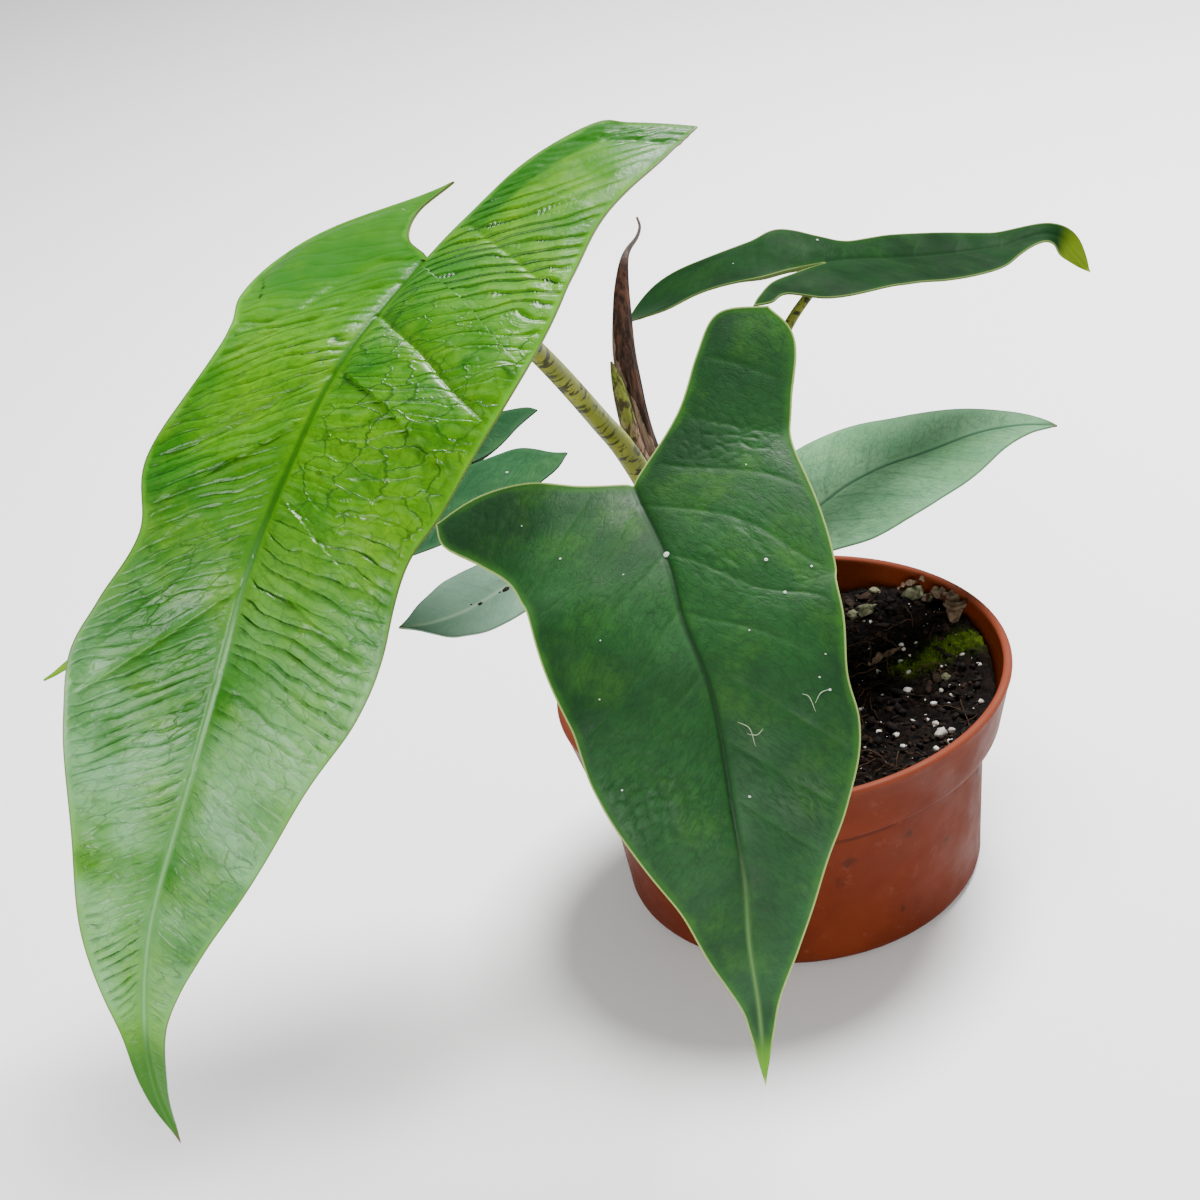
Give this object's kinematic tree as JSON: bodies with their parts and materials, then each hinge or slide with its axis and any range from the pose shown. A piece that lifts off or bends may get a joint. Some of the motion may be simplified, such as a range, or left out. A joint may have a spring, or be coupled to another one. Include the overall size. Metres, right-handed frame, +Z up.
{
  "type": "potted alocasia",
  "caption": "Potted alocasia: a low tapering round nursery pot of soil, a short stem, arrow-shaped hanging leaves on arching mottled stalks, and a dry brown leaf sheath.",
  "frame": {"origin": "middle of the pot's flat underside, where it rests", "axes": "+Z up; +X and -Y towards the sides that the picture shows to the right and to the front, the longest leaf hanging over at -X"},
  "size_m": [0.291, 0.2226, 0.238],
  "materials": {
    "pot_plastic": "satin",
    "potting_soil": "matte",
    "stem_skin": "matte",
    "mottled_stalk": "satin",
    "new_leaf": "satin",
    "dark_leaf": "satin",
    "pale_leaf": "satin",
    "dry_sheath": "matte",
    "green_sheath": "matte"
  },
  "bodies": {
    "root": {"pot": "pot_plastic", "soil": "potting_soil", "stem": "stem_skin", "stalk_left": "mottled_stalk", "blade_left": "new_leaf", "stalk_front": "mottled_stalk", "blade_front": "dark_leaf", "stalk_upper_right": "mottled_stalk", "blade_upper_right": "dark_leaf", "stalk_lower_right": "mottled_stalk", "blade_lower_right": "dark_leaf", "stalk_rear_left": "mottled_stalk", "blade_rear_left": "dark_leaf", "stalk_small_left": "mottled_stalk", "blade_small_left": "pale_leaf", "dry_sheath": "dry_sheath", "green_sheath": "green_sheath"}
  },
  "joints": []
}
